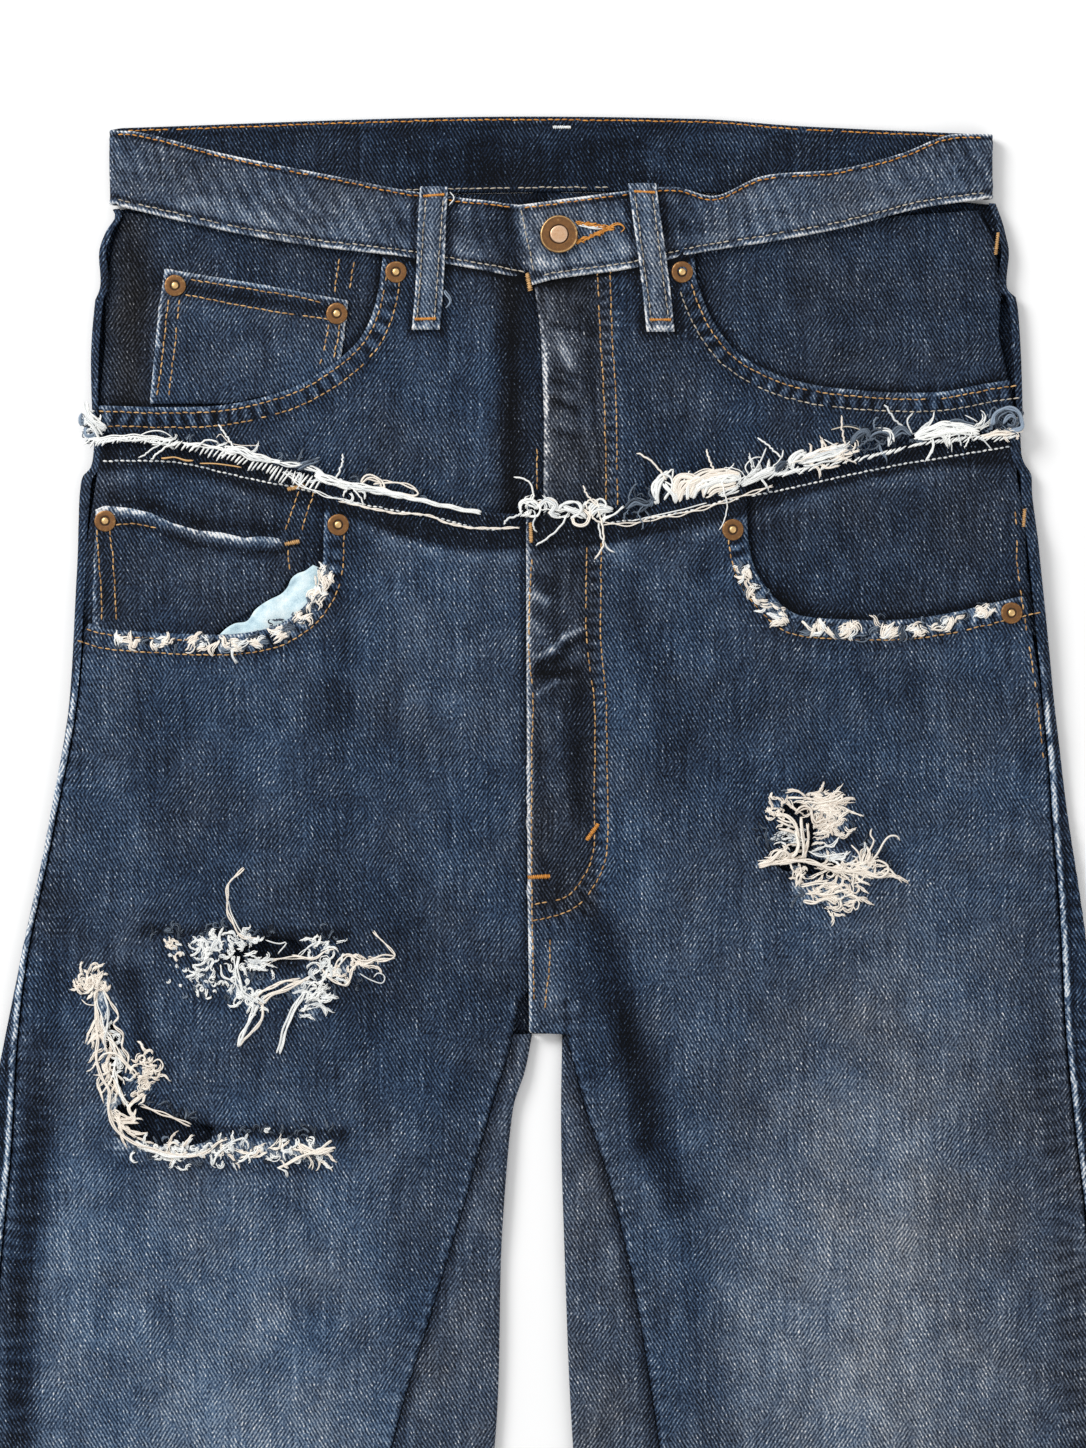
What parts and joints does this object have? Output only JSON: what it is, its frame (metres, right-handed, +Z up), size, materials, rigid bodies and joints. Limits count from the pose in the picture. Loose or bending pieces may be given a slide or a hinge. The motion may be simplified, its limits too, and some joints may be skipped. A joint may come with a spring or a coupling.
{
  "type": "ripped double-waist jeans, laid flat",
  "caption": "Wide-leg ripped jeans laid flat: the cut-off top of one pair is tucked into the frayed raw waist of another.",
  "frame": {"origin": "middle of the garment's footprint, on the surface it lies on", "axes": "+X across the garment, to the right as seen from above with the waist away; +Y from hem to waist; +Z up off the surface"},
  "size_m": [0.672, 1.2126, 0.0126],
  "materials": {
    "upper_denim": "dark worn indigo twill",
    "lower_denim": "faded indigo twill, white along folds and seams",
    "band_denim": "grey-blue rubbed twill",
    "facing_denim": "unfaded indigo twill",
    "bag_cotton": "thin pale blue cotton",
    "antique_brass": "antiqued, darkened in the hollows"
  },
  "bodies": {
    "root": {"waistband": "band_denim", "belt_loop_front_left": "band_denim", "belt_loop_front_right": "band_denim", "belt_loop_back_left": "band_denim", "belt_loop_back_center": "band_denim", "belt_loop_back_right": "band_denim", "upper_front_left": "upper_denim", "upper_front_right": "upper_denim", "upper_pocket_facing_left": "facing_denim", "upper_pocket_facing_right": "facing_denim", "upper_coin_pocket": "upper_denim", "upper_yoke_left": "upper_denim", "upper_yoke_right": "upper_denim", "upper_back_left": "upper_denim", "upper_back_right": "upper_denim", "lower_front_left": "lower_denim", "lower_front_right": "lower_denim", "lower_pocket_facing_left": "facing_denim", "lower_pocket_facing_right": "facing_denim", "lower_coin_pocket": "lower_denim", "lower_pocket_bag_left": "bag_cotton", "lower_yoke_left": "lower_denim", "lower_yoke_right": "lower_denim", "lower_back_left": "lower_denim", "lower_back_right": "lower_denim", "lower_back_pocket_left": "lower_denim", "lower_back_pocket_right": "lower_denim", "rivet_upper_pocket_left": "antique_brass", "rivet_upper_pocket_right": "antique_brass", "rivet_upper_coin_left": "antique_brass", "rivet_upper_coin_right": "antique_brass", "rivet_lower_coin_left": "antique_brass", "rivet_lower_pocket_left": "antique_brass", "rivet_lower_pocket_right": "antique_brass", "rivet_lower_side_right": "antique_brass", "button": "antique_brass"}
  },
  "joints": []
}
